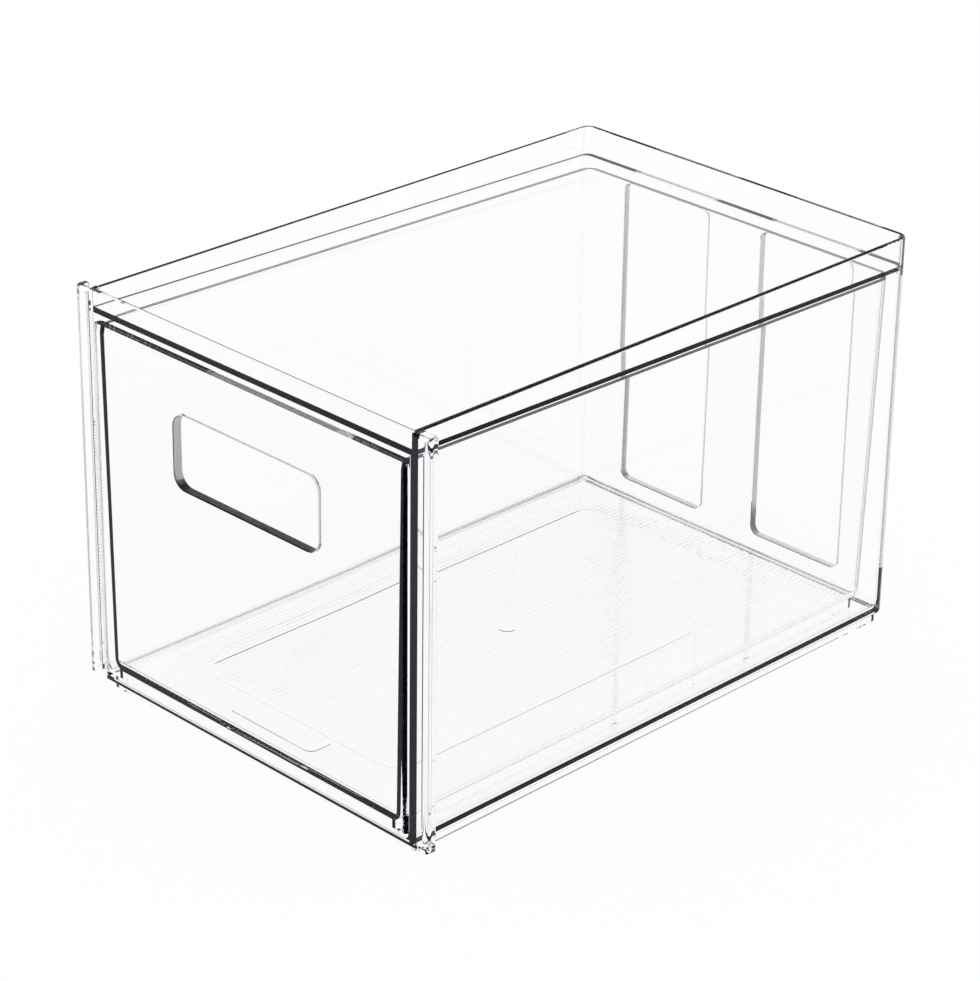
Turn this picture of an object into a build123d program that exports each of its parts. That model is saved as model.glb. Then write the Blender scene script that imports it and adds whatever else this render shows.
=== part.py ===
from build123d import *
import os

# Clear stacking box with one pull-out drawer, in millimetres.
# X runs to the right, Y from the front to the back, and Z up.
# The origin is the middle of the footprint, at the bottom of the base skirt.

# The case: one moulding, open at the front
case_depth = 305.0
case_width_front = 201.0
case_width_back = 198.0
case_height = 187.3
case_wall = 2.3
case_back_wall = 4.0
case_floor = 2.2
case_corner_round = 5.5
case_floor_round = 3.0
mouth_round = 1.8

# The top plate lies below the stacking lip and falls towards the back
plate_thickness = 2.2
plate_drop_front = 7.8
plate_drop_back = 13.6
lip_wall = 2.2

# The upright flanges beside the mouth, each a channel that is open at the back
flange_width = 8.5
flange_depth = 5.8
flange_wall = 2.3
flange_round = 1.5
flange_top_round = 1.6

# The base skirt, which drops into the lip of a box below
skirt_height = 5.2
skirt_wall = 2.0
skirt_lip_gap = 0.5
skirt_front_inset = 4.0
skirt_inner_round = 0.5

# The two windows in the back wall
window_count = 2
window_width = 53.0
window_height = 152.0
window_spacing = 86.0
window_sill = 13.2
window_round = 4.0

# The drawer: one moulding with a thick front panel
drawer_wall = 2.3
drawer_floor = 2.2
drawer_draft_side = 2.0
drawer_draft_back = 3.5
drawer_corner_round = 6.0
drawer_under_round = 4.0
drawer_floor_round = 3.0
foot_height = 4.7
foot_wall = 2.0
foot_inset = 3.0
panel_thickness = 4.8
panel_proud = 1.0
panel_round = 2.2
panel_bevel_depth = 1.2
panel_bevel_height = 2.4
panel_edge_round = 0.6

# Clearances between the drawer and the case
panel_side_gap = 1.1
panel_floor_gap = 2.5
drawer_side_gap = 4.0
drawer_back_gap = 1.0
drawer_top_gap = 4.5
drawer_foot_gap = 0.3

# The hand hole in the drawer's front panel
hole_width = 90.0
hole_height = 34.4
hole_round = 6.5
hole_below_top = 24.5
hole_edge_round = 0.8

# Moulded marks on the drawer's floor
gate_diameter = 9.5
label_width = 54.0
label_depth = 14.2
label_round = 4.0
label_from_panel = 9.1
mark_height = 0.3

# Places that follow from the sizes above
total_depth = case_depth + panel_proud
front_y = panel_proud - total_depth / 2
back_y = front_y + case_depth
floor_under_z = skirt_height
floor_top_z = floor_under_z + case_floor
rim_z = floor_under_z + case_height
plate_top_front_z = rim_z - plate_drop_front
plate_top_back_z = rim_z - plate_drop_back
plate_slope = (plate_drop_back - plate_drop_front) / case_depth
side_taper = (case_width_front - case_width_back) / 2 / case_depth
inner_back_y = back_y - case_back_wall

# How far cutting blocks run past a face, how near an edge must be to be picked,
# and the largest share of a wall that a round on it may take
beyond = 20.0
near = 0.2
round_share = 0.8


def case_half(y):
    """Half the case's width over its side walls, at a place along its depth."""
    return case_width_front / 2 - side_taper * (y - front_y)


def plate_top(y):
    """Height of the top plate's upper face, at a place along the depth."""
    return plate_top_front_z - plate_slope * (y - front_y)


def drawer_top(y):
    """Height of the drawer's upper edge, which keeps the same gap under the sloping top plate."""
    return plate_top(y) - plate_thickness - drawer_top_gap


drawer_back_y = inner_back_y - drawer_back_gap
drawer_foot_z = floor_top_z + drawer_foot_gap
drawer_floor_z = drawer_foot_z + foot_height
panel_front_y = front_y - panel_proud
panel_back_y = panel_front_y + panel_thickness
panel_bottom_z = floor_top_z + panel_floor_gap
panel_top_z = drawer_top(panel_back_y)
panel_half = case_half(front_y) - case_wall - panel_side_gap
hole_z = panel_top_z - hole_below_top - hole_height / 2


def plan(inset, y_low, y_high, back_round, front_round=0.0):
    """A flat outline that follows the tapered side walls, inset by the same width all along."""
    corners = [
        (-(case_half(y_low) - inset), y_low),
        (case_half(y_low) - inset, y_low),
        (case_half(y_high) - inset, y_high),
        (-(case_half(y_high) - inset), y_high),
    ]
    outline = make_face(Polyline(*corners, close=True))
    if back_round > 0:
        outline = fillet(outline.vertices().group_by(Axis.Y)[-1], back_round)
    if front_round > 0:
        outline = fillet(outline.vertices().group_by(Axis.Y)[0], front_round)
    return outline


def side_profile(y_low, y_high, z_under, z_over_low, z_over_high):
    """A wide block whose top face runs from one height at the front to another at the back."""
    corners = [(y_low, z_under), (y_high, z_under), (y_high, z_over_high), (y_low, z_over_low)]
    face = make_face(Polyline(*corners, close=True))
    return extrude(Plane.YZ * face, amount=case_width_front, both=True)


def prism(outline, z_low, z_high):
    """An outline drawn up from one height to another."""
    return extrude(Pos(0, 0, z_low) * outline, amount=z_high - z_low)


def upright_slot(width, height, corner, y_low, y_high, x, z):
    """A block with rounded corners, seen from the front, for a hole through an upright wall."""
    facing = Plane(origin=(x, y_high, z), x_dir=(1, 0, 0), z_dir=(0, -1, 0))
    return extrude(facing * RectangleRounded(width, height, corner), amount=y_high - y_low)


def round_along_floor(block, radius):
    """Rounds a block's lower edges along its sides and back."""
    front = block.bounding_box().min.Y
    low_edges = block.faces().sort_by(Axis.Z)[0].edges()
    return fillet([edge for edge in low_edges if edge.center().Y > front + near], radius)


def make_cabin():
    """The space inside the case, open at the front."""
    outline = plan(case_wall, front_y, inner_back_y, case_corner_round - case_wall)
    block = round_along_floor(prism(outline, floor_top_z, rim_z), case_floor_round)
    under_front = plate_top(front_y) - plate_thickness
    under_back = plate_top(back_y) - plate_thickness
    return block & side_profile(front_y, back_y, 0, under_front, under_back)


def make_recess():
    """The shallow tray above the top plate, inside the stacking lip."""
    corner = case_corner_round - lip_wall
    outline = plan(lip_wall, front_y + lip_wall, back_y - lip_wall, corner)
    block = prism(outline, floor_top_z, rim_z + beyond)
    kept = side_profile(front_y, back_y, 0, plate_top(front_y), plate_top(back_y))
    return block - kept


def make_skirt():
    """The skirt under the floor, which fits inside the lip of a box below."""
    side_inset = lip_wall + skirt_lip_gap
    y_low = front_y + skirt_front_inset
    y_high = back_y - side_inset
    outer = plan(side_inset, y_low, y_high, case_corner_round - side_inset, skirt_wall)
    inner_round = max(case_corner_round - side_inset - skirt_wall, skirt_inner_round)
    inner = plan(side_inset + skirt_wall, y_low + skirt_wall, y_high - skirt_wall, inner_round)
    return prism(outer, 0, floor_under_z) - prism(inner, 0, floor_under_z)


def make_flange(side):
    """The upright flange on one side of the mouth, rounded outside and hollow from the back."""
    inner_x = case_half(front_y) - case_wall / 2
    outer_x = case_half(front_y) + flange_width
    outline = Pos((inner_x + outer_x) / 2, front_y + flange_depth / 2) * Rectangle(
        outer_x - inner_x, flange_depth
    )
    outline = fillet(outline.vertices().group_by(Axis.X)[-1], flange_round)
    bar = prism(outline, floor_under_z, rim_z)
    top_edges = [
        edge for edge in bar.faces().sort_by(Axis.Z)[-1].edges() if edge.center().X > inner_x + near
    ]
    bar = fillet(top_edges, flange_top_round)
    pocket = Pos(inner_x, front_y + flange_wall, floor_under_z + flange_wall) * Box(
        outer_x - flange_wall - inner_x, flange_depth, case_height - 2 * flange_wall,
        align=(Align.MIN, Align.MIN, Align.MIN),
    )
    bar = bar - pocket
    return bar if side > 0 else mirror(bar, about=Plane.YZ)


def make_case():
    """The outer moulding: walls, plates, lip, flanges, skirt and back windows."""
    shell = prism(plan(0, front_y, back_y, case_corner_round), floor_under_z, rim_z)
    shell = shell - make_cabin() - make_recess()
    mouth_edges = [
        edge
        for edge in shell.edges().filter_by(Axis.Z)
        if abs(edge.center().Y - front_y) < near
        and abs(abs(edge.center().X) - case_half(front_y) + case_wall) < near
        and edge.length > case_height / 2
    ]
    shell = fillet(mouth_edges, min(mouth_round, case_wall * round_share))
    for side in (-1, 1):
        shell = shell + make_flange(side)
    shell = shell + make_skirt()
    window_z = floor_under_z + window_sill + window_height / 2
    for number in range(window_count):
        x = (number - (window_count - 1) / 2) * window_spacing
        shell = shell - upright_slot(
            window_width, window_height, window_round,
            inner_back_y - drawer_back_gap / 2, back_y + beyond, x, window_z,
        )
    return shell


def tub(inset, y_low, y_high, z_low, corner):
    """A block that widens upwards with the drawer's draft, up to the panel's top."""
    rise = (panel_top_z - z_low) / (panel_top_z - drawer_floor_z)
    low_inset = inset + drawer_draft_side * rise
    low_back = y_high - drawer_draft_back * rise
    low = Pos(0, 0, z_low) * plan(low_inset, y_low, low_back, corner)
    high = Pos(0, 0, panel_top_z) * plan(inset, y_low, y_high, corner)
    return loft([low, high])


def make_foot():
    """The rim under the drawer's floor that the drawer stands on, open towards the panel."""
    inset = case_wall + drawer_side_gap + drawer_draft_side + foot_inset
    y_high = drawer_back_y - drawer_draft_back - foot_inset
    corner = drawer_corner_round - foot_inset
    z_high = drawer_floor_z + drawer_floor / 2
    outer = prism(plan(inset, panel_back_y, y_high, corner), drawer_foot_z, z_high)
    inner = plan(inset + foot_wall, panel_back_y, y_high - foot_wall, corner - foot_wall)
    return outer - prism(inner, drawer_foot_z, z_high)


def make_drawer_tub():
    """The drawer's floor and its side and back walls, of one thickness round the lower edges."""
    outer_inset = case_wall + drawer_side_gap
    inner_inset = outer_inset + drawer_wall
    outer = tub(outer_inset, panel_back_y, drawer_back_y, drawer_floor_z, drawer_corner_round)
    outer = round_along_floor(outer, drawer_under_round)
    inner_corner = max(drawer_corner_round - drawer_wall, drawer_wall / 2)
    hollow = tub(
        inner_inset, panel_back_y, drawer_back_y - drawer_wall,
        drawer_floor_z + drawer_floor, inner_corner,
    )
    floor_edges = hollow.faces().sort_by(Axis.Z)[0].edges()
    hollow = fillet(floor_edges, min(drawer_floor_round, inner_corner * round_share))
    below_top = side_profile(panel_back_y, back_y, 0, drawer_top(panel_back_y), drawer_top(back_y))
    return (outer & below_top) + make_foot() - hollow


def make_panel():
    """The thick front panel with rounded uprights, a bevel along its top and its hand hole."""
    z_middle = (panel_bottom_z + panel_top_z) / 2
    block = Pos(0, (panel_front_y + panel_back_y) / 2, z_middle) * Box(
        2 * panel_half, panel_thickness, panel_top_z - panel_bottom_z
    )
    panel = fillet(block.edges().filter_by(Axis.Z), panel_round)
    front_edges = block.faces().sort_by(Axis.Y)[0].edges().filter_by(Axis.X).sort_by(Axis.Z)
    panel = panel & fillet(front_edges[0], panel_edge_round)
    corners = [
        (panel_front_y, panel_bottom_z),
        (panel_back_y, panel_bottom_z),
        (panel_back_y, panel_top_z),
        (panel_front_y + panel_bevel_depth, panel_top_z),
        (panel_front_y, panel_top_z - panel_bevel_height),
    ]
    bevelled = make_face(Polyline(*corners, close=True))
    panel = panel & extrude(Plane.YZ * bevelled, amount=case_width_front, both=True)
    hole = upright_slot(
        hole_width, hole_height, hole_round,
        panel_front_y - beyond, panel_back_y + beyond, 0, hole_z,
    )
    panel = panel - hole
    hole_edges = [
        edge
        for edge in panel.edges()
        if abs(edge.center().X) < hole_width / 2 + near
        and abs(edge.center().Z - hole_z) < hole_height / 2 + near
        and edge.bounding_box().size.Y < near
    ]
    return fillet(hole_edges, hole_edge_round)


def make_floor_marks():
    """The round gate mark and the bare label pad, raised a little from the drawer's floor."""
    z = drawer_floor_z + drawer_floor
    gate_y = (panel_back_y + drawer_back_y) / 2
    gate = Pos(0, gate_y, z) * Cylinder(
        gate_diameter / 2, mark_height, align=(Align.CENTER, Align.CENTER, Align.MIN)
    )
    label_y = panel_back_y + label_from_panel + label_depth / 2
    pad = RectangleRounded(label_width, label_depth, label_round)
    return gate + prism(Pos(0, label_y) * pad, z, z + mark_height)


def make_drawer():
    """The pull-out drawer, one moulding."""
    return make_drawer_tub() + make_panel() + make_floor_marks()


nodes = {"case": make_case(), "drawer": make_drawer()}

os.makedirs("parts", exist_ok=True)
for name, shape in nodes.items():
    export_step(shape, f"parts/{name}.step")
    size = shape.bounding_box().size
    print(f"{name}: {size.X:.1f} x {size.Y:.1f} x {size.Z:.1f} mm, {len(shape.solids())} solid(s)")
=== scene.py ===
"""Looks of the clear stacking storage box with its drawer, in metres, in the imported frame."""
import logging
import math
from dataclasses import dataclass, replace
from enum import Enum
from typing import Callable, Iterable

import bmesh
import bpy
from mathutils import Matrix, Vector


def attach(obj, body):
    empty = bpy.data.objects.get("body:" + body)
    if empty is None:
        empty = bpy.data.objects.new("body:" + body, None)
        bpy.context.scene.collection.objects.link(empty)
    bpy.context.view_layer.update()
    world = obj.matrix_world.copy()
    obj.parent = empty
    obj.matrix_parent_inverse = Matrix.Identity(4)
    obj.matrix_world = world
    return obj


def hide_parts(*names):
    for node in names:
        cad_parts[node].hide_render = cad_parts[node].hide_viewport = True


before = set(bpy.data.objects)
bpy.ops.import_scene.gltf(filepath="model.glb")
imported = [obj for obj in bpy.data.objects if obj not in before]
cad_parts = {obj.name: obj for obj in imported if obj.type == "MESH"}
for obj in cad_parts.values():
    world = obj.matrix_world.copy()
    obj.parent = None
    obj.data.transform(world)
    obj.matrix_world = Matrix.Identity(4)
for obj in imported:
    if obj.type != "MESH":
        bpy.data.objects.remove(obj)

LOG = logging.getLogger("storage_box")
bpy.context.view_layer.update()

# in metres: two planes this near are one, spare room round a test or a region, how far a
# cutter runs past the face that it opens, how far two blocks run into one another, and
# how near two points are merged
TOUCH = 1e-5
HAIR = 1e-4
BEYOND = 0.02
OVERLAP = 0.01
MERGE = 2e-6

# in degrees: how far two faces turn at most to count as one flat face, at least to count
# as an edge that a hand would feel, and at least to count as a square edge
FLAT = 0.4
SHARP = 24.0
SQUARE = 60.0

# shares of a direction: an edge runs one way where its share is above MAINLY; a face looks
# straight one way where its share is above FACING, and up, down or sideways above ASIDE
MAINLY = 0.7
FACING = 0.9
ASIDE = 0.5

Colour = tuple[float, float, float]
Place = tuple[float, float, float]
Solid = bmesh.types.BMesh
Socket = bpy.types.NodeSocket
EdgeTest = Callable[[bmesh.types.BMEdge], bool]


class Course(Enum):
    """The way an edge runs."""

    ACROSS = 0
    ALONG = 1
    UPRIGHT = 2


class Joining(Enum):
    """How a block meets the moulding that it is put to."""

    ADD = "UNION"
    CUT = "DIFFERENCE"
    KEEP = "INTERSECT"


@dataclass(frozen=True)
class Walls:
    """The upright planes that a moulding's walls follow.

    The side walls draw in towards the back by taper, and all but the front lean in towards
    the bottom by the two leans, all as metres per metre.
    """

    half_front: float
    y_front: float
    y_back: float
    z_top: float
    taper: float = 0.0
    lean_side: float = 0.0
    lean_back: float = 0.0

    def half_at(self, y: float, z: float) -> float:
        """Returns the half-width at a depth and a height."""
        return self.half_front - self.taper * (y - self.y_front) - self.lean_side * (self.z_top - z)

    def back_at(self, z: float) -> float:
        """Returns where the back plane is at a height."""
        return self.y_back - self.lean_back * (self.z_top - z)

    def inset(self, side: float, front: float, back: float) -> "Walls":
        """Moves the planes inwards.

        Args:
            side: distance that each side plane moves in.
            front: distance that the front plane moves back.
            back: distance that the back plane moves forward.

        Returns:
            The walls moved in.
        """
        return replace(
            self,
            half_front=self.half_front - side - self.taper * front,
            y_front=self.y_front + front,
            y_back=self.y_back - back,
        )

    def block(self, z_low: float, z_front: float, z_back: float) -> Solid:
        """Makes the solid between the walls, with a top that may slope.

        Args:
            z_low: height of its flat underside.
            z_front: height of its top at the front.
            z_back: height of its top at the back.

        Returns:
            The six-sided solid.
        """
        mesh = bmesh.new()
        bmesh.ops.create_cube(mesh, size=2.0)
        for vert in mesh.verts:
            at_back, at_top = vert.co.y > 0, vert.co.z > 0
            z = (z_back if at_back else z_front) if at_top else z_low
            y = self.back_at(z) if at_back else self.y_front
            vert.co = Vector((math.copysign(self.half_at(y, z), vert.co.x), y, z))
        return mesh


def box_between(low: Place, high: Place) -> Solid:
    """Makes an upright box between two corners.

    Args:
        low: lowest corner.
        high: highest corner.

    Returns:
        The box.
    """
    mesh = bmesh.new()
    size = Vector(high) - Vector(low)
    middle = (Vector(high) + Vector(low)) / 2
    shape = Matrix.Translation(middle) @ Matrix.Diagonal((*size, 1.0))
    bmesh.ops.create_cube(mesh, size=1.0, matrix=shape)
    return mesh


def runs(course: Course) -> EdgeTest:
    """Returns a test for edges that run mostly one way."""

    def test(edge: bmesh.types.BMEdge) -> bool:
        """Tells whether the edge runs that way."""
        way = edge.verts[1].co - edge.verts[0].co
        return abs(way[course.value]) > MAINLY * way.length

    return test


def lies(course: Course, low: float = -math.inf, high: float = math.inf) -> EdgeTest:
    """Returns a test for edges with both ends between two planes.

    Args:
        course: the way along which the planes are measured.
        low: place of the lower plane.
        high: place of the upper plane.

    Returns:
        The test.
    """
    return lambda edge: all(low < vert.co[course.value] < high for vert in edge.verts)


def reaches(course: Course, low: float = -math.inf, high: float = math.inf) -> EdgeTest:
    """Returns a test for edges with at least one end between two planes.

    Args:
        course: the way along which the planes are measured.
        low: place of the lower plane.
        high: place of the upper plane.

    Returns:
        The test.
    """
    return lambda edge: any(low < vert.co[course.value] < high for vert in edge.verts)


def square_to(course: Course) -> EdgeTest:
    """Returns a test for edges that lie square to one way."""
    return lambda edge: abs(edge.verts[0].co[course.value] - edge.verts[1].co[course.value]) < TOUCH


# picks the edges in the back half of the box
AT_BACK = lies(Course.ALONG, low=0.0)


def sharper_than(degrees: float) -> EdgeTest:
    """Returns a test for edges whose two faces turn by more than an angle."""

    def test(edge: bmesh.types.BMEdge) -> bool:
        """Tells whether the edge is that sharp."""
        return len(edge.link_faces) == 2 and edge.calc_face_angle() > math.radians(degrees)

    return test


def round_edges(mesh: Solid, radius: float, steps: int, *tests: EdgeTest) -> Solid:
    """Rounds the edges that pass every test.

    Args:
        mesh: the solid to round.
        radius: radius of the round.
        steps: number of flats in the round.
        *tests: what an edge has to pass.

    Returns:
        The same solid.
    """
    picked = [edge for edge in mesh.edges if all(test(edge) for test in tests)]
    bmesh.ops.bevel(
        mesh, geom=picked, offset=radius, offset_type="OFFSET", segments=steps, profile=0.5,
        affect="EDGES", clamp_overlap=True, material=-1,
    )
    return mesh


def draw_out(mesh: Solid, face: bmesh.types.BMFace, way: Place) -> None:
    """Draws a face out into a solid.

    Args:
        mesh: the mesh that holds the face.
        face: the solid's first end.
        way: how far its other end lies along each axis.
    """
    made = bmesh.ops.extrude_face_region(mesh, geom=[face])
    ends = [part for part in made["geom"] if isinstance(part, bmesh.types.BMVert)]
    bmesh.ops.translate(mesh, verts=ends, vec=way)


def mirrored(mesh: Solid) -> Solid:
    """Returns a copy of the solid on the other side of the middle plane."""
    other = mesh.copy()
    bmesh.ops.scale(other, vec=(-1.0, 1.0, 1.0), verts=other.verts)
    bmesh.ops.recalc_face_normals(other, faces=other.faces)
    return other


class Moulding:
    """One moulded piece, put together from blocks and cutters."""

    def __init__(self, name: str, start: Solid) -> None:
        """Starts the piece from its first block.

        Args:
            name: name of the piece.
            start: the first block, which is used up.
        """
        self.name = name
        self.piece = self._hold(name, start)

    @staticmethod
    def _hold(name: str, mesh: Solid) -> bpy.types.Object:
        """Turns a solid into an object at the origin and frees it."""
        data = bpy.data.meshes.new(name)
        bmesh.ops.recalc_face_normals(mesh, faces=mesh.faces)
        mesh.to_mesh(data)
        mesh.free()
        holder = bpy.data.objects.new(name, data)
        bpy.context.scene.collection.objects.link(holder)
        return holder

    def _settle(self) -> None:
        """Makes the piece's modifiers part of its mesh."""
        graph = bpy.context.evaluated_depsgraph_get()
        made = bpy.data.meshes.new_from_object(self.piece.evaluated_get(graph))
        old = self.piece.data
        self.piece.modifiers.clear()
        self.piece.data = made
        bpy.data.meshes.remove(old)

    def join(self, how: Joining, *blocks: Solid) -> None:
        """Adds blocks to the piece, cuts them out of it or keeps what lies in them.

        Args:
            how: what to do with the blocks.
            *blocks: the blocks, which are used up.
        """
        for block in blocks:
            tool = self._hold(self.name + "_tool", block)
            step = self.piece.modifiers.new("join", "BOOLEAN")
            step.operation, step.solver, step.object = how.value, "EXACT", tool
            self._settle()
            bpy.data.meshes.remove(tool.data)

    def clean(self) -> None:
        """Merges doubled points and drops edges that lie within a flat face."""
        mesh = bmesh.new()
        mesh.from_mesh(self.piece.data)
        bmesh.ops.remove_doubles(mesh, verts=mesh.verts, dist=MERGE)
        bmesh.ops.dissolve_limit(
            mesh, angle_limit=math.radians(FLAT), verts=mesh.verts, edges=mesh.edges,
            use_dissolve_boundaries=False,
        )
        mesh.to_mesh(self.piece.data)
        mesh.free()

    def round_off(self, radius: float, steps: int, *tests: EdgeTest) -> None:
        """Rounds the piece's edges that pass every test.

        Args:
            radius: radius of the round.
            steps: number of flats in the round.
            *tests: what an edge has to pass.
        """
        mesh = bmesh.new()
        mesh.from_mesh(self.piece.data)
        round_edges(mesh, radius, steps, *tests)
        mesh.to_mesh(self.piece.data)
        mesh.free()

    def dress(self, material: bpy.types.Material) -> None:
        """Gives the piece its finish and its smooth shading."""
        self.piece.data.materials.clear()
        self.piece.data.materials.append(material)
        self.piece.data.shade_smooth()
        evened = self.piece.modifiers.new("even_normals", "WEIGHTED_NORMAL")
        evened.mode, evened.weight, evened.keep_sharp = "FACE_AREA", 50, False


class Sums:
    """Builds sums from a material's nodes."""

    # the colour sockets of a Mix node, which share their names with its number sockets
    MIX_IN = (6, 7)
    MIX_OUT = 2

    def __init__(self, tree: bpy.types.NodeTree) -> None:
        """Keeps the node tree to build in.

        Args:
            tree: the material's node tree.
        """
        self.nodes, self.links = tree.nodes, tree.links

    def feed(self, socket: Socket, value: "Socket | float") -> None:
        """Links an output to a socket, or sets the socket to a number."""
        if isinstance(value, Socket):
            self.links.new(value, socket)
        else:
            socket.default_value = value

    def work(self, operation: str, *values: "Socket | float") -> Socket:
        """Adds one sum.

        Args:
            operation: what to do.
            *values: outputs or numbers to do it with.

        Returns:
            The result.
        """
        node = self.nodes.new("ShaderNodeMath")
        node.operation = operation
        for socket, value in zip(node.inputs, values):
            self.feed(socket, value)
        return node.outputs[0]

    def blend(self, part: Socket, *colours: "Socket | Colour") -> Socket:
        """Mixes two colours.

        Args:
            part: how much of the second one.
            *colours: the two colours, each an output or three numbers.

        Returns:
            The mixed colour.
        """
        node = self.nodes.new("ShaderNodeMix")
        node.data_type = "RGBA"
        self.links.new(part, node.inputs["Factor"])
        for socket, colour in zip(self.MIX_IN, colours):
            self.feed(node.inputs[socket], (*colour, 1.0) if isinstance(colour, tuple) else colour)
        return node.outputs[self.MIX_OUT]

    def every(self, *tests: Socket) -> Socket:
        """Returns 1 where all the tests are 1."""
        held = tests[0]
        for test in tests[1:]:
            held = self.work("MULTIPLY", held, test)
        return held

    def apart(self, vector: Socket) -> list[Socket]:
        """Splits a vector into its three numbers."""
        node = self.nodes.new("ShaderNodeSeparateXYZ")
        self.links.new(vector, node.inputs[0])
        return list(node.outputs)


@dataclass(frozen=True)
class Region:
    """An upright block of the piece, or a pair of them at either side of the middle."""

    middle: Place
    half: Place

    def mask(self, sums: Sums, place: Socket) -> Socket:
        """Builds the test for being inside.

        Args:
            sums: the material's sums.
            place: object coordinates.

        Returns:
            1 inside and 0 outside.
        """
        x, y, z = sums.apart(place)
        tests = []
        for value, middle, half in zip((sums.work("ABSOLUTE", x), y, z), self.middle, self.half):
            away = sums.work("ABSOLUTE", sums.work("SUBTRACT", value, middle))
            tests.append(sums.work("LESS_THAN", away, half))
        return sums.every(*tests)


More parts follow.
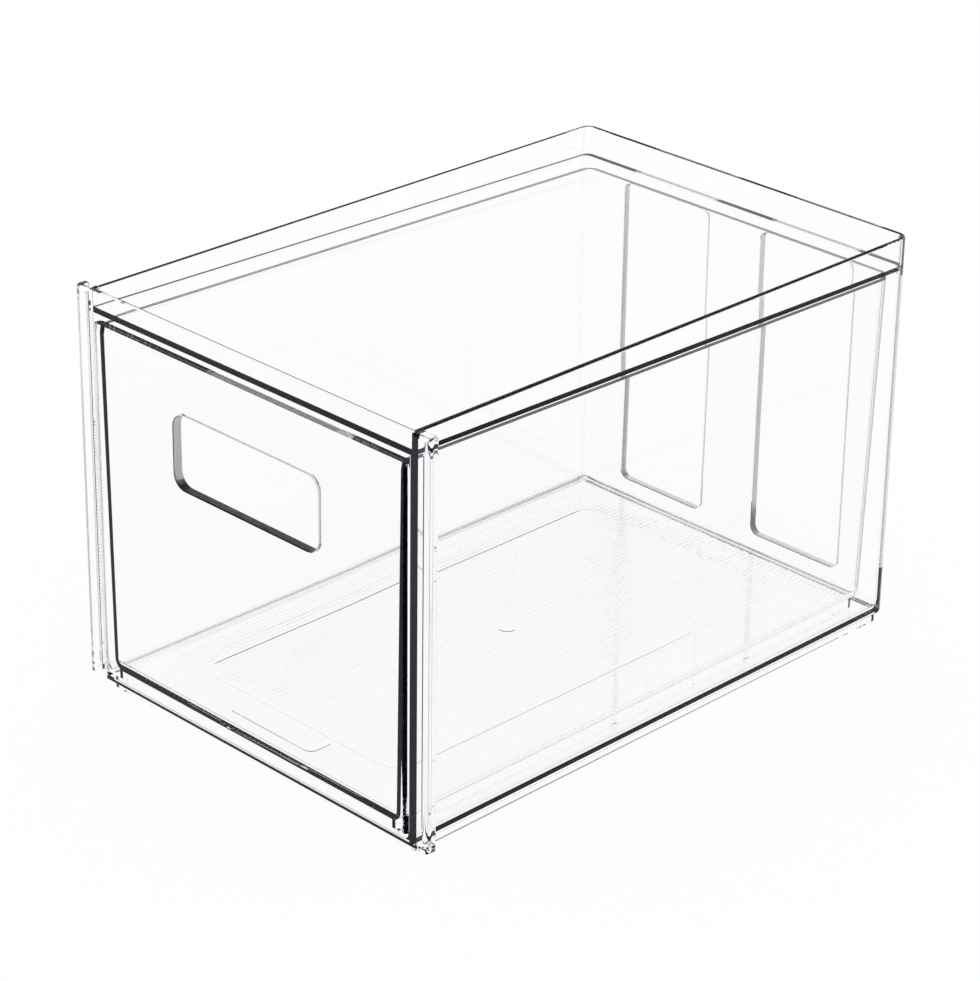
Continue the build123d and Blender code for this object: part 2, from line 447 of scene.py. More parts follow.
@dataclass(frozen=True)
class ClearPlastic:
    """Clear polystyrene: polished, with faint flow lines, and treated apart in three regions.

    In crown the faces that look up are tilted a little by crown_tilt, as no moulded rim is quite
    level. In cut the faces of the holes through a wall are frosted and carry a grey painted shade,
    with a darker painted shade on the sills, which look up where sill_side is 1 and down where it
    is -1.
    In corner the upright faces carry a dark painted shade where they are seen edge on, and
    corner_focus narrows that to the middle of the bend. The reflections carry a painted tone: they
    are darkened and tinted navy.
    """

    name: str
    crown: Region
    cut: Region
    corner: Region
    # painted shade: the colour that the upright corners take where they are seen edge on
    corner_painted_shade: Colour
    corner_focus: float
    # painted shade: the colour of the holes' sills
    sill_painted_shade: Colour
    sill_side: float = 1.0
    corner_turn: tuple[float, float] = (0.25, 0.5)
    # painted shade: the grey of the holes' faces
    cut_painted_shade: Colour = (0.62, 0.63, 0.57)
    cut_gloss: float = 0.35
    base: Colour = (0.9995, 0.9998, 0.9990)
    viewport_alpha: float = 0.25
    depth_colour: Colour = (0.30, 0.27, 0.36)
    density: float = 3.2
    ior: float = 1.59
    low_gloss: float = 0.0
    high_gloss: float = 0.02
    # painted reflection tone: darkens the reflections and tints them navy
    painted_reflection_tint: Colour = (0.05, 0.03, 0.16)
    flow_scale: float = 9.0
    flow_detail: float = 3.0
    wave: float = 0.02
    wave_height: float = 0.001
    crown_tilt: Place = (0.15, -0.15, 0.0)

    def _crowned(self, sums: Sums, up: Socket, place: Socket, normal: Socket) -> Socket:
        """Tilts the upper edges' faces.

        Args:
            sums: the material's sums.
            up: how far the face looks up.
            place: object coordinates.
            normal: the shading normal.

        Returns:
            The normal to build the finish on.
        """
        lean = sums.nodes.new("ShaderNodeVectorMath")
        lean.operation = "SCALE"
        lean.inputs[0].default_value = self.crown_tilt
        held = sums.every(sums.work("GREATER_THAN", up, FACING), self.crown.mask(sums, place))
        sums.feed(lean.inputs["Scale"], held)
        total = sums.nodes.new("ShaderNodeVectorMath")
        sums.feed(total.inputs[0], normal)
        sums.feed(total.inputs[1], lean.outputs[0])
        even = sums.nodes.new("ShaderNodeVectorMath")
        even.operation = "NORMALIZE"
        sums.feed(even.inputs[0], total.outputs[0])
        return even.outputs[0]

    def _bend(self, sums: Sums, way: list[Socket], place: Socket) -> Socket:
        """Finds how far a face belongs to an upright back corner that is seen edge on, which gets
        painted shade.

        Args:
            sums: the material's sums.
            way: the three parts of the face's direction.
            place: object coordinates.

        Returns:
            0 on the other faces and up to 1 on these.
        """
        edge_on = sums.nodes.new("ShaderNodeMapRange")
        for socket, turn in zip(("From Min", "From Max"), self.corner_turn):
            edge_on.inputs[socket].default_value = turn
        weight = sums.nodes.new("ShaderNodeLayerWeight")
        sums.feed(edge_on.inputs["Value"], weight.outputs["Facing"])
        level = sums.work("LESS_THAN", sums.work("ABSOLUTE", way[2]), ASIDE)
        diagonal = sums.work("MULTIPLY", sums.work("MULTIPLY", way[0], way[1]), 2.0)
        diagonal = sums.work("POWER", sums.work("ABSOLUTE", diagonal), self.corner_focus)
        inside = self.corner.mask(sums, place)
        return sums.every(inside, level, diagonal, edge_on.outputs["Result"])

    def _dress_faces(self, sums: Sums, way: list[Socket], place: Socket,
                     shader: bpy.types.Node, gloss: Socket) -> None:
        """Sets the colour, with painted shade on the holes' faces and the corners, and the
        roughness, which is higher on the holes' faces.

        Args:
            sums: the material's sums.
            way: the three parts of the face's direction.
            place: object coordinates.
            shader: the material's shader.
            gloss: roughness of the other faces.
        """
        bend = self._bend(sums, way, place)
        aside = sums.work("LESS_THAN", sums.work("ABSOLUTE", way[1]), FACING)
        cut = sums.every(self.cut.mask(sums, place), aside)
        rise = sums.work("MULTIPLY", way[2], self.sill_side)
        sill = sums.every(cut, sums.work("GREATER_THAN", rise, ASIDE))
        # painted shade: the holes' faces are greyed and their sills darkened
        colour = sums.blend(sill, sums.blend(cut, self.base, self.cut_painted_shade), self.sill_painted_shade)
        # painted shade: the upright corners go dark where they are seen edge on
        sums.feed(shader.inputs["Base Color"], sums.blend(bend, colour, self.corner_painted_shade))
        frost = sums.work("MULTIPLY", cut, self.cut_gloss)
        sums.feed(shader.inputs["Roughness"], sums.work("MAXIMUM", frost, gloss))

    def material(self) -> bpy.types.Material:
        """Builds the procedural material.

        Returns:
            The finished material.
        """
        made = bpy.data.materials.new(self.name)
        made.use_nodes = True
        made.diffuse_color = (*self.base, self.viewport_alpha)
        sums = Sums(made.node_tree)
        nodes = sums.nodes
        shader = nodes["Principled BSDF"]
        shader.inputs["Transmission Weight"].default_value = 1.0
        shader.inputs["IOR"].default_value = self.ior
        # painted reflection tone: the reflections are darkened and tinted navy
        shader.inputs["Specular Tint"].default_value = (*self.painted_reflection_tint, 1.0)
        place = nodes.new("ShaderNodeTexCoord").outputs["Object"]
        face = nodes.new("ShaderNodeNewGeometry")
        way = sums.apart(face.outputs["True Normal"])
        flow = nodes.new("ShaderNodeTexNoise")
        flow.inputs["Scale"].default_value = self.flow_scale
        flow.inputs["Detail"].default_value = self.flow_detail
        sums.feed(flow.inputs["Vector"], place)
        gloss = nodes.new("ShaderNodeMapRange")
        gloss.inputs["To Min"].default_value = self.low_gloss
        gloss.inputs["To Max"].default_value = self.high_gloss
        sums.feed(gloss.inputs["Value"], flow.outputs["Fac"])
        self._dress_faces(sums, way, place, shader, gloss.outputs["Result"])
        bump = nodes.new("ShaderNodeBump")
        bump.inputs["Strength"].default_value = self.wave
        bump.inputs["Distance"].default_value = self.wave_height
        sums.feed(bump.inputs["Height"], flow.outputs["Fac"])
        sums.feed(bump.inputs["Normal"], self._crowned(sums, way[2], place, face.outputs["Normal"]))
        sums.feed(shader.inputs["Normal"], bump.outputs["Normal"])
        depth = nodes.new("ShaderNodeVolumeAbsorption")
        depth.inputs["Color"].default_value = (*self.depth_colour, 1.0)
        depth.inputs["Density"].default_value = self.density
        sums.feed(nodes["Material Output"].inputs["Volume"], depth.outputs["Volume"])
        return made


@dataclass(frozen=True)
class CaseMoulding:
    """The case, open at the front.

    It has walls, a floor, a top plate that slopes below a stacking lip, a hollow flange at
    either side of the mouth, a base skirt and two windows in its back wall.
    """

    depth: float = 0.305
    half_front: float = 0.1005
    taper: float = 0.0015 / 0.305
    front: float = -0.152
    skirt_height: float = 0.0052
    height: float = 0.1873
    wall: float = 0.0023
    back_wall: float = 0.004
    floor: float = 0.0022
    corner: float = 0.0055
    floor_corner: float = 0.003
    foot_line: float = 0.0041
    foot_step: float = 0.0003
    mouth: float = 0.0017
    mouth_margin: float = 0.001
    plate: float = 0.0022
    drop_front: float = 0.0078
    drop_back: float = 0.0136
    lip: float = 0.0022
    lip_round: float = 0.0009
    front_crown: float = 0.0005
    crown_reach: float = 0.001
    lip_corner: float = 0.018
    base_round: float = 0.001
    flange_width: float = 0.0085
    flange_depth: float = 0.0058
    flange_wall: float = 0.0023
    flange_root: float = 0.0013
    flange_corner: float = 0.0015
    flange_top: float = 0.0016
    skirt_wall: float = 0.002
    skirt_gap: float = 0.0005
    skirt_front: float = 0.004
    skirt_corner: float = 0.0024
    skirt_inner_corner: float = 0.0008
    window_width: float = 0.053
    window_height: float = 0.152
    window_spacing: float = 0.086
    window_sill: float = 0.0132
    window_corner: float = 0.004
    window_edge: float = 0.0007
    window_overrun: float = 0.0004
    edge: float = 0.00028

    @property
    def rim(self) -> float:
        """Height of the rim above the ground."""
        return self.skirt_height + self.height

    @property
    def walls(self) -> Walls:
        """The outer faces of the walls."""
        return Walls(self.half_front, self.front, self.front + self.depth, self.rim, self.taper)

    def plate_top(self, y: float) -> float:
        """Returns the height of the top plate's upper face at a depth."""
        slope = (self.drop_back - self.drop_front) / self.depth
        return self.rim - self.drop_front - slope * (y - self.front)

    def plate_under(self, y: float) -> float:
        """Returns the height of the top plate's lower face at a depth."""
        return self.plate_top(y) - self.plate

    def _shell(self) -> Solid:
        """Makes the outer block with its rounded back corners."""
        block = self.walls.block(self.skirt_height, self.rim, self.rim)
        round_edges(block, self.corner, 8, runs(Course.UPRIGHT), AT_BACK)
        return round_edges(
            block, self.base_round, 4,
            lies(Course.UPRIGHT, high=self.skirt_height + TOUCH),
            reaches(Course.ALONG, low=self.front + HAIR),
        )

    def _cabin(self) -> tuple[Solid, Solid]:
        """Makes the space for the drawer, run out a little past the mouth.

        Returns:
            The space along the floor, and the slightly wider space above it.
        """
        low = self.skirt_height + self.floor
        high = low + self.foot_line
        step = self.foot_step
        narrow = self.walls.inset(self.wall + step, -BEYOND, self.back_wall + step)
        lower = round_edges(
            narrow.block(low, high + OVERLAP, high + OVERLAP), self.floor_corner, 6,
            reaches(Course.UPRIGHT, high=low + TOUCH), reaches(Course.ALONG, low=0.0),
        )
        wide = self.walls.inset(self.wall, -BEYOND, self.back_wall)
        upper = wide.block(high, self.plate_under(wide.y_front), self.plate_under(wide.y_back))
        round_edges(upper, self.floor_corner, 6, runs(Course.UPRIGHT), AT_BACK)
        return lower, upper

    def _recess(self) -> Solid:
        """Makes the shallow tray above the top plate."""
        inner = self.walls.inset(self.lip, self.lip, self.lip)
        high = self.rim + BEYOND
        block = inner.block(self.rim - BEYOND, high, high)
        for vert in block.verts:
            if vert.co.z < self.rim:
                vert.co.z = self.plate_top(vert.co.y)
        return round_edges(block, self.corner - self.lip, 7, runs(Course.UPRIGHT), AT_BACK)

    def _skirt(self) -> tuple[Solid, Solid]:
        """Makes the base skirt's outer block and the space inside it."""
        side, wall = self.lip + self.skirt_gap, self.skirt_wall
        walls = self.walls.inset(side, self.skirt_front, side)
        high = self.skirt_height + self.floor / 2
        outer = walls.block(0.0, high, high)
        round_edges(outer, self.skirt_corner, 5, runs(Course.UPRIGHT))
        inner = walls.inset(wall, wall, wall).block(-OVERLAP, self.skirt_height, self.skirt_height)
        round_edges(inner, self.skirt_inner_corner, 3, runs(Course.UPRIGHT))
        return outer, inner

    def _pocket(self) -> Solid:
        """Makes the cutter that hollows the right flange from the back."""
        wall = self.flange_wall
        root = self.half_front + self.flange_root
        tip = self.half_front + self.flange_width
        block = box_between(
            (root, self.front + wall, self.skirt_height + wall),
            (tip - wall, self.front + 2 * self.flange_depth, self.rim - wall),
        )
        return round_edges(
            block, self.flange_corner, 5, runs(Course.UPRIGHT),
            lies(Course.ACROSS, low=root + HAIR),
            lies(Course.ALONG, high=self.front + self.flange_depth),
        )

    def _flange(self) -> Solid:
        """Makes the right flange with its rounded outer corners and top."""
        root = self.half_front - self.wall / 2
        bar = box_between(
            (root, self.front, self.skirt_height),
            (self.half_front + self.flange_width, self.front + self.flange_depth, self.rim),
        )
        round_edges(
            bar, self.flange_corner, 5,
            runs(Course.UPRIGHT), lies(Course.ACROSS, low=self.half_front),
        )
        return round_edges(
            bar, self.flange_top, 5,
            lies(Course.UPRIGHT, low=self.rim - TOUCH),
            reaches(Course.ACROSS, low=self.half_front),
        )

    def _window(self, x: float) -> Solid:
        """Makes the cutter for one back window.

        Args:
            x: place of the window's middle.

        Returns:
            The cutter.
        """
        low = self.skirt_height + self.window_sill
        back = self.front + self.depth
        block = box_between(
            (x - self.window_width / 2, back - self.back_wall - self.window_overrun, low),
            (x + self.window_width / 2, back + BEYOND, low + self.window_height),
        )
        return round_edges(block, self.window_corner, 6, runs(Course.ALONG))

    def _soften_mouth(self, case: Moulding) -> None:
        """Rounds the mouth's edge up both sides and along the floor."""
        inside = self.half_front - self.wall + HAIR
        case.round_off(
            self.mouth, 6,
            lies(Course.ALONG, high=self.front + TOUCH),
            lies(Course.ACROSS, low=-inside, high=inside),
            lies(Course.UPRIGHT, low=self.skirt_height + self.floor - HAIR),
            reaches(Course.UPRIGHT, high=self.plate_under(self.front) - self.mouth_margin),
        )

    def _soften_rim(self, case: Moulding) -> None:
        """Rounds the lip's upper edges along the sides and the back."""
        case.round_off(
            self.lip_round, 5, sharper_than(SQUARE),
            lies(Course.UPRIGHT, low=self.rim - TOUCH),
            reaches(Course.ALONG, low=self.front + self.lip + HAIR),
        )

    def _soften_windows(self, case: Moulding) -> None:
        """Rounds the windows' edges inside and outside the back wall."""
        reach = (self.window_spacing + self.window_width) / 2 + HAIR
        low = self.skirt_height + self.window_sill
        case.round_off(
            self.window_edge, 3, sharper_than(SQUARE), square_to(Course.ALONG),
            lies(Course.ALONG, low=self.front + self.depth - self.back_wall - HAIR),
            lies(Course.ACROSS, low=-reach, high=reach),
            lies(Course.UPRIGHT, low=low - HAIR, high=low + self.window_height + HAIR),
        )

    def build(self) -> Moulding:
        """Puts the case together.

        Returns:
            The finished case, without its material.
        """
        case = Moulding("clear_case", self._shell())
        case.join(Joining.CUT, *self._cabin(), self._recess())
        case.clean()
        self._soften_mouth(case)
        self._soften_rim(case)
        flange, pocket = self._flange(), self._pocket()
        skirt, under = self._skirt()
        case.join(Joining.ADD, mirrored(flange), flange, skirt)
        case.join(Joining.CUT, mirrored(pocket), pocket, under)
        half = self.window_spacing / 2
        case.join(Joining.CUT, self._window(-half), self._window(half))
        case.clean()
        self._soften_windows(case)
        case.round_off(self.edge, 2, sharper_than(SHARP))
        return case

    def finish(self) -> ClearPlastic:
        """Returns the case's finish, with crowned side and back rims, frosted window faces in a
        grey painted shade that is darker on the windows' faces that look down, and a near black
        painted shade on the lip's back corners.
        """
        near = self.front + self.lip - self.front_crown
        far = self.front + self.depth
        half = self.walls.half_at(far, self.rim)
        middle = self.skirt_height + self.window_sill + self.window_height / 2
        window = (self.window_width / 2, self.back_wall / 2, self.window_height / 2)
        return ClearPlastic(
            name="clear_case_plastic",
            crown=Region(
                (0.0, (near + far) / 2, self.rim),
                (self.half_front, (far - near) / 2, self.crown_reach),
            ),
            cut=Region(
                (self.window_spacing / 2, far - self.back_wall / 2, middle),
                tuple(reach + HAIR for reach in window),
            ),
            corner=Region((half, far, self.rim), (self.corner, self.corner, self.lip_corner)),
            # painted shade: near black on the lip's back corners where they are seen edge on
            corner_painted_shade=(0.01, 0.01, 0.015),
            corner_focus=0.0,
            # painted shade: dark on the windows' faces that look down
            sill_painted_shade=(0.06, 0.06, 0.07),
            sill_side=-1.0,
        )


@dataclass(frozen=True)
class DrawerMoulding:
    """The drawer: thick front panel with a hand hole, drafted walls and a finely grooved floor."""

    case: CaseMoulding
    wall: float = 0.0023
    floor: float = 0.0022
    draft_side: float = 0.002
    draft_back: float = 0.0035
    corner: float = 0.006
    under_corner: float = 0.0053
    floor_corner: float = 0.003
    foot: float = 0.0047
    foot_wall: float = 0.002
    foot_inset: float = 0.003
    panel: float = 0.0048
    proud: float = 0.001
    panel_corner: float = 0.0022
    bevel_depth: float = 0.0009
    bevel_height: float = 0.0026
    panel_edge: float = 0.0006
    side_gap: float = 0.004
    panel_side_gap: float = 0.0011
    panel_floor_gap: float = 0.0025
    back_gap: float = 0.001
    top_gap: float = 0.0045
    foot_gap: float = 0.0003
    hole_width: float = 0.09
    hole_height: float = 0.0344
    hole_corner: float = 0.0065
    hole_below_top: float = 0.0245
    hole_edge: float = 0.0008
    gate: float = 0.0095
    pad_width: float = 0.054
    pad_depth: float = 0.0142
    pad_corner: float = 0.004
    pad_from_panel: float = 0.0091
    mark: float = 0.0003
    crown_reach: float = 0.001
    field_half: float = 0.0625
    field_margin: float = 0.0238
    field_corner: float = 0.01
    field_line: float = 0.0006
    field_rise: float = 0.00007
    groove_pitch: float = 0.0028
    groove_width: float = 0.0006
    groove_depth: float = 0.0002
    groove_margin: float = 0.0012
    edge: float = 0.00028

    @property
    def panel_front(self) -> float:
        """Where the panel's front face is."""
        return self.case.front - self.proud

    @property
    def panel_back(self) -> float:
        """Where the panel's back face is."""
        return self.panel_front + self.panel

    @property
    def back(self) -> float:
        """Where the back wall's outer face is, at the top."""
        return self.case.front + self.case.depth - self.case.back_wall - self.back_gap

    @property
    def foot_z(self) -> float:
        """Height of the foot rim's underside."""
        return self.case.skirt_height + self.case.floor + self.foot_gap

    @property
    def floor_z(self) -> float:
        """Height of the floor's underside."""
        return self.foot_z + self.foot

    def top(self, y: float) -> float:
        """Returns the height of the upper edge at a depth."""
        return self.case.plate_under(y) - self.top_gap

    @property
    def floor_top(self) -> float:
        """Height of the floor's upper face."""
        return self.floor_z + self.floor

    @property
    def walls(self) -> Walls:
        """The outer faces of the drawer's walls."""
        top = self.top(self.panel_back)
        rise = top - self.floor_z
        outer = self.case.walls.inset(
            self.case.wall + self.side_gap,
            self.panel_back - self.case.front,
            self.case.back_wall + self.back_gap,
        )
        return replace(
            outer, z_top=top, lean_side=self.draft_side / rise, lean_back=self.draft_back / rise,
        )

    def _tub(self) -> Solid:
        """Makes the outer block of the tub, whose front runs into the panel."""
        walls = self.walls.inset(0.0, -self.panel / 2, 0.0)
        block = walls.block(self.floor_z, self.top(walls.y_front), self.top(walls.y_back))
        round_edges(block, self.corner, 8, runs(Course.UPRIGHT), AT_BACK)
        return round_edges(
            block, self.under_corner, 6,
            lies(Course.UPRIGHT, high=self.floor_z + TOUCH),
            reaches(Course.ALONG, low=walls.y_front + HAIR),
        )

    def _hollow(self) -> Solid:
        """Makes the space inside the tub, rounded at its corners and along its floor."""
        walls = self.walls.inset(self.wall, 0.0, self.wall)
        high = self.top(self.panel_back) + BEYOND
        block = walls.block(self.floor_top, high, high)
        along_floor = lies(Course.UPRIGHT, high=self.floor_top + TOUCH)
        return round_edges(
            block, self.floor_corner, 6,
            reaches(Course.UPRIGHT, high=self.floor_top + TOUCH),
            lambda edge: along_floor(edge) or AT_BACK(edge),
        )

    def _foot(self) -> tuple[Solid, Solid]:
        """Makes the foot rim's outer block and the space inside it, open towards the panel."""
        walls = self.walls
        outer_walls = replace(
            walls,
            half_front=walls.half_at(walls.y_front, self.floor_z) - self.foot_inset,
            y_back=walls.back_at(self.floor_z) - self.foot_inset,
            lean_side=0.0, lean_back=0.0,
        )
        inside = self.floor_z + self.floor / 2
        corner = self.corner - self.foot_inset
        outer = outer_walls.block(self.foot_z, inside, inside)
        round_edges(outer, corner, 5, runs(Course.UPRIGHT), AT_BACK)
        inner = outer_walls.inset(self.foot_wall, 0.0, self.foot_wall).block(
            self.foot_z - OVERLAP, self.floor_z, self.floor_z,
        )
        round_edges(inner, corner - self.foot_wall, 3, runs(Course.UPRIGHT), AT_BACK)
        return outer, inner

    def _panel(self) -> tuple[Solid, Solid]:
        """Makes the front panel twice, with rounded uprights and with its long edges shaped.

        Returns:
            The two blocks, whose common part is the panel.
        """
        half = self.case.half_front - self.case.wall - self.panel_side_gap
        bottom = self.case.skirt_height + self.case.floor + self.panel_floor_gap
        low = (-half, self.panel_front, bottom)
        high = (half, self.panel_back, self.top(self.panel_back))
        upright = round_edges(box_between(low, high), self.panel_corner, 6, runs(Course.UPRIGHT))
        profile = (
            (low[1], low[2]), (high[1], low[2]), (high[1], high[2]),
            (low[1] + self.bevel_depth, high[2]), (low[1], high[2] - self.bevel_height),
        )
        long = bmesh.new()
        side = long.faces.new([long.verts.new((low[0] - OVERLAP, y, z)) for y, z in profile])
        draw_out(long, side, (2 * (high[0] + OVERLAP), 0.0, 0.0))
        round_edges(
            long, self.panel_edge, 4, runs(Course.ACROSS),
            lies(Course.ALONG, high=self.panel_front + TOUCH),
            lies(Course.UPRIGHT, high=bottom + TOUCH),
        )
        return upright, long

    def _hand_hole(self) -> Solid:
        """Makes the cutter for the hand hole."""
        high = self.top(self.panel_back) - self.hole_below_top
        block = box_between(
            (-self.hole_width / 2, self.panel_front - BEYOND, high - self.hole_height),
            (self.hole_width / 2, self.panel_back + OVERLAP, high),
        )
        return round_edges(block, self.hole_corner, 8, runs(Course.ALONG))

    def _gate_mark(self) -> Solid:
        """Makes the round mark where the plastic entered the mould."""
        mesh = bmesh.new()
        middle = (self.panel_back + self.back) / 2
        bmesh.ops.create_cone(
            mesh, cap_ends=True, segments=40,
            radius1=self.gate / 2, radius2=self.gate / 2 - self.mark / 2, depth=2 * self.mark,
            matrix=Matrix.Translation((0.0, middle, self.floor_top)),
        )
        return mesh

    def _pad(self) -> Solid:
        """Makes the bare label pad near the panel."""
        near = self.panel_back + self.pad_from_panel
        block = box_between(
            (-self.pad_width / 2, near, self.floor_top - self.mark),
            (self.pad_width / 2, near + self.pad_depth, self.floor_top + self.mark),
        )
        return round_edges(block, self.pad_corner, 5, runs(Course.UPRIGHT))

    def _field_ring(self, mesh: Solid, inset: float, z: float) -> list[bmesh.types.BMVert]:
        """Lays a ring of points round the floor's inner field.

        Args:
            mesh: the mesh that gets the points.
            inset: how far the ring lies inside the field's edge.
            z: its height.

        Returns:
            The points, in their order round the ring.
        """
        near = self.panel_back + self.field_margin + self.field_corner
        far = self.walls.back_at(self.floor_top) - self.wall - self.field_margin - self.field_corner
        radius = self.field_corner - inset
        half = self.field_half - inset - radius
        ring = []
        for quarter, (x, y) in enumerate(((half, far), (-half, far), (-half, near), (half, near))):
            for step in range(7):
                turn = math.radians(90 * quarter + 15 * step)
                spot = (x + radius * math.cos(turn), y + radius * math.sin(turn), z)
                ring.append(mesh.verts.new(spot))
        return ring

    def _field_line(self) -> Solid:
        """Makes the faint raised line round the floor's inner field."""
        mesh = bmesh.new()
        low, high = self.floor_top - self.mark, self.floor_top + self.field_rise
        corners = ((0.0, low), (0.0, high), (self.field_line, high), (self.field_line, low))
        rings = [self._field_ring(mesh, inset, z) for inset, z in corners]
        for first, second in zip(rings, rings[1:] + rings[:1]):
            for number in range(len(first)):
                after = (number + 1) % len(first)
                mesh.faces.new((first[number], first[after], second[after], second[number]))
        return mesh

    def _groove_runs(self, x: float, near: float, far: float) -> list[tuple[float, float]]:
        """Splits a groove so that it leaves out the gate mark.

        Args:
            x: place of the groove.
            near: where the grooved field begins.
            far: where it ends.

        Returns:
            Where each run of the groove begins and ends.
        """
        spare = self.gate / 2 + self.groove_pitch / 4
        middle = (self.panel_back + self.back) / 2
        if abs(x) > spare:
            return [(near, far)]
        return [(near, middle - spare), (middle + spare, far)]

    def _grooves(self) -> Solid:
        """Makes the cutter for the fine grooves that run along the floor."""
        low = self.floor_top
        walls = self.walls.inset(self.wall, 0.0, self.wall)
        near = self.panel_back + self.pad_from_panel + self.pad_depth + self.groove_pitch
        far = walls.back_at(low) - self.floor_corner - self.groove_margin
        reach = walls.half_at(far, low) - self.floor_corner - self.groove_margin
        count = int(2 * reach / self.groove_pitch)
        mesh = bmesh.new()
        for number in range(count + 1):
            x = (number - count / 2) * self.groove_pitch
            for start, end in self._groove_runs(x, near, far):
                notch = [
                    mesh.verts.new((x - self.groove_width / 2, start, low + self.groove_depth)),
                    mesh.verts.new((x, start, low - self.groove_depth)),
                    mesh.verts.new((x + self.groove_width / 2, start, low + self.groove_depth)),
                ]
                draw_out(mesh, mesh.faces.new(notch), (0.0, end - start, 0.0))
        return mesh

    def _soften_hole(self, drawer: Moulding) -> None:
        """Rounds the hand hole's edges at the front and the back of the panel."""
        high = self.top(self.panel_back) - self.hole_below_top
        reach = self.hole_width / 2 + HAIR
        drawer.round_off(
            self.hole_edge, 4, sharper_than(SQUARE), square_to(Course.ALONG),
            lies(Course.ALONG, high=self.panel_back + HAIR),
            lies(Course.ACROSS, low=-reach, high=reach),
            lies(Course.UPRIGHT, low=high - self.hole_height - HAIR, high=high + HAIR),
        )

    def build(self) -> Moulding:
        """Puts the drawer together.

        Returns:
            The finished drawer, without its material.
        """
        upright, long = self._panel()
        drawer = Moulding("clear_drawer", upright)
        drawer.join(Joining.KEEP, long)
        foot, under = self._foot()
        drawer.join(Joining.ADD, self._tub(), foot)
        drawer.join(Joining.CUT, self._hollow(), under, self._hand_hole())
        drawer.clean()
        self._soften_hole(drawer)
        drawer.round_off(self.edge, 2, sharper_than(SHARP))
        drawer.join(Joining.CUT, self._grooves())
        drawer.join(Joining.ADD, self._gate_mark(), self._pad(), self._field_line())
        return drawer

    def finish(self) -> ClearPlastic:
        """Returns the drawer's finish, with a crowned panel top, frosted hand-hole faces in a grey
        painted shade that is darker on the hole's floor, and a dark painted shade on the back
        corners.
        """
        high = self.top(self.panel_back)
        middle = (self.panel_front + self.panel_back) / 2
        reach = self.corner + self.draft_back
        return ClearPlastic(
            name="clear_drawer_plastic",
            crown=Region(
                (0.0, middle, high),
                (self.case.half_front, self.panel / 2 - TOUCH, self.crown_reach),
            ),
            cut=Region(
                (0.0, middle, high - self.hole_below_top - self.hole_height / 2),
                (self.hole_width / 2 + HAIR, self.panel, self.hole_height / 2 + HAIR),
            ),
            corner=Region(
                (self.walls.half_at(self.back, high), self.back, high),
                (reach, reach, high - self.floor_z - self.under_corner),
            ),
            # painted shade: dark on the back corners where they are seen edge on
            corner_painted_shade=(0.08, 0.085, 0.08),
            corner_focus=0.5,
            # painted shade: darker on the hand hole's floor
            sill_painted_shade=(0.17, 0.16, 0.18),
        )


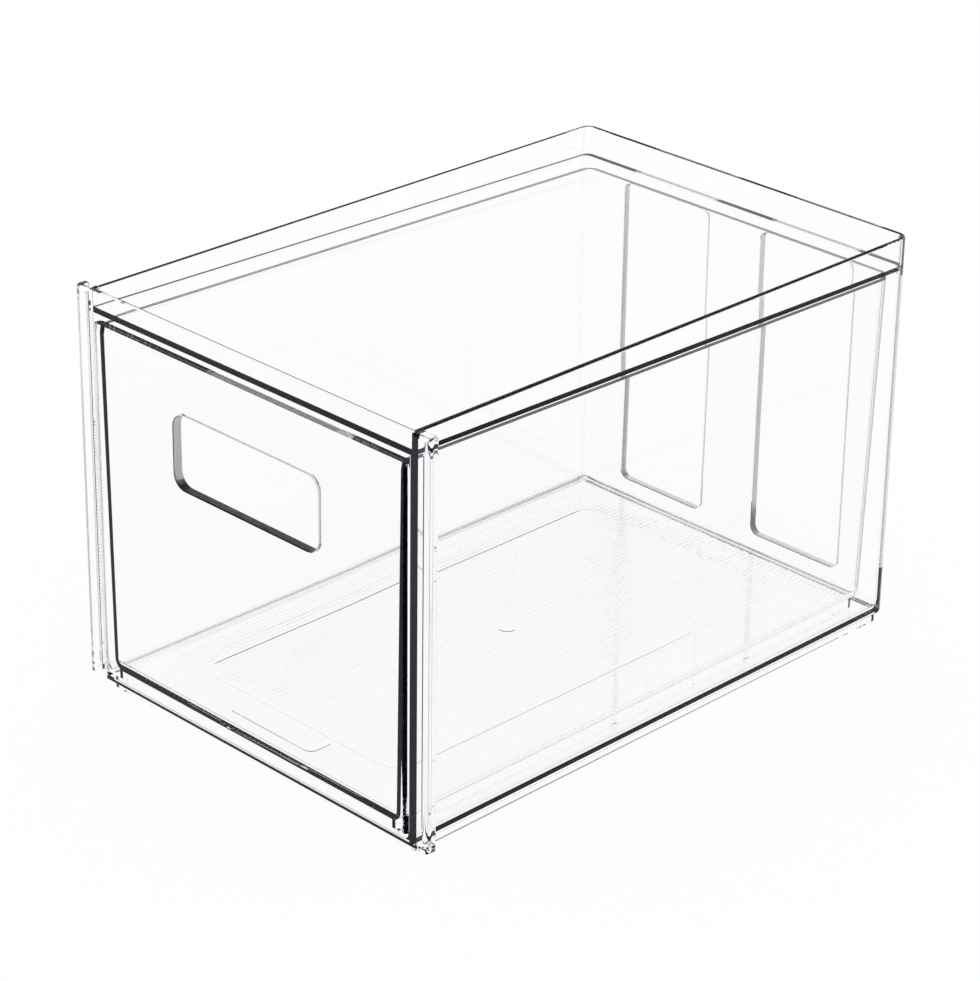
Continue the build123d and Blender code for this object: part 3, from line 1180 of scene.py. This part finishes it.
@dataclass(frozen=True)
class Studio:
    """The plain studio: pale floor, soft even light and the camera.

    The floor's paint glows by the share lift where it is seen, also in or through the
    plastic, so that it looks white. Light passes through as many as bounces clear faces, but
    is thrown back inside a wall only guided times, so that a wall seen along its whole
    length goes dark.
    """

    floor_reach: float = 8.0
    floor_drop: float = 0.0002
    floor_colour: Colour = (0.95, 0.95, 0.95)
    lift: float = 0.96
    sky_colour: Colour = (1.0, 1.0, 1.0)
    sky: float = 1.0
    bounces: int = 64
    guided: int = 8
    sensor: float = 36.0
    clip: tuple[float, float] = (0.05, 50.0)
    place: Place = (0.99520, -1.00552, 0.76376)
    yaw: float = 44.9727
    pitch: float = 25.7156
    roll: float = 0.835
    lens: float = 129.02

    def camera(self) -> None:
        """Sets up the camera at the photographed viewing angle."""
        data = bpy.data.cameras.new("camera")
        data.sensor_fit, data.sensor_width, data.lens = "HORIZONTAL", self.sensor, self.lens
        data.clip_start, data.clip_end = self.clip
        camera = bpy.data.objects.new("camera", data)
        turn = (
            Matrix.Rotation(math.radians(self.yaw), 4, "Z")
            @ Matrix.Rotation(math.radians(90.0 - self.pitch), 4, "X")
            @ Matrix.Rotation(math.radians(self.roll), 4, "Z")
        )
        camera.matrix_world = Matrix.Translation(self.place) @ turn
        bpy.context.scene.collection.objects.link(camera)
        bpy.context.scene.camera = camera

    def floor(self) -> None:
        """Lays the pale floor, which looks white but keeps the box's soft shadow."""
        mesh = bmesh.new()
        bmesh.ops.create_circle(mesh, cap_ends=True, segments=64, radius=self.floor_reach)
        bmesh.ops.translate(mesh, verts=mesh.verts, vec=(0.0, 0.0, -self.floor_drop))
        data = bpy.data.meshes.new("floor")
        mesh.to_mesh(data)
        mesh.free()
        ground = bpy.data.objects.new("floor", data)
        bpy.context.scene.collection.objects.link(ground)
        data.materials.append(self._floor_paint())

    def _floor_paint(self) -> bpy.types.Material:
        """Builds the floor's paint.

        Returns:
            The finished material.
        """
        made = bpy.data.materials.new("pale_floor")
        made.use_nodes = True
        sums = Sums(made.node_tree)
        nodes = sums.nodes
        nodes.remove(nodes["Principled BSDF"])
        paint = nodes.new("ShaderNodeBsdfDiffuse")
        paint.inputs["Color"].default_value = (*self.floor_colour, 1.0)
        glow = nodes.new("ShaderNodeEmission")
        path = nodes.new("ShaderNodeLightPath").outputs
        seen = sums.work("MAXIMUM", path["Is Camera Ray"], path["Is Glossy Ray"])
        seen = sums.work("MAXIMUM", seen, path["Is Transmission Ray"])
        mix = nodes.new("ShaderNodeMixShader")
        sums.feed(mix.inputs["Fac"], sums.work("MULTIPLY", seen, self.lift))
        sums.feed(mix.inputs[1], paint.outputs["BSDF"])
        sums.feed(mix.inputs[2], glow.outputs["Emission"])
        sums.feed(nodes["Material Output"].inputs["Surface"], mix.outputs["Shader"])
        return made

    def light(self) -> None:
        """Lights the box evenly from a pale sky."""
        scene = bpy.context.scene
        world = bpy.data.worlds.new("studio")
        world.use_nodes = True
        back = world.node_tree.nodes["Background"]
        back.inputs["Color"].default_value = (*self.sky_colour, 1.0)
        back.inputs["Strength"].default_value = self.sky
        scene.world = world
        scene.view_settings.view_transform = "Standard"

    def light_paths(self) -> None:
        """Lets light through the many clear walls, but not along the whole length of one."""
        cycles = bpy.context.scene.cycles
        cycles.max_bounces, cycles.transmission_bounces = self.bounces, self.bounces
        cycles.glossy_bounces = self.guided

    def build(self) -> None:
        """Sets up the whole studio."""
        self.floor()
        self.light()
        self.light_paths()
        self.camera()


def place(moulding: Moulding, body: str, node: str, slot: str, finish: ClearPlastic) -> None:
    """Dresses a moulding and puts it in the frame in place of its CAD node.

    Args:
        moulding: the built piece.
        body: the body that it moves with.
        node: the CAD node that it stands for.
        slot: the record's material slot; not used.
        finish: its finish.
    """
    moulding.dress(finish.material())
    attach(moulding.piece, body)
    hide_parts(node)
    LOG.info("%s: %d faces", moulding.name, len(moulding.piece.data.polygons))


def main() -> None:
    """Builds the studio, the case and the drawer."""
    logging.basicConfig(level=logging.INFO)
    Studio().build()
    case = CaseMoulding()
    drawer = DrawerMoulding(case)
    place(case.build(), "case", "case", "clear_case", case.finish())
    place(drawer.build(), "drawer", "drawer", "clear_drawer", drawer.finish())


if __name__ == "__main__":
    main()
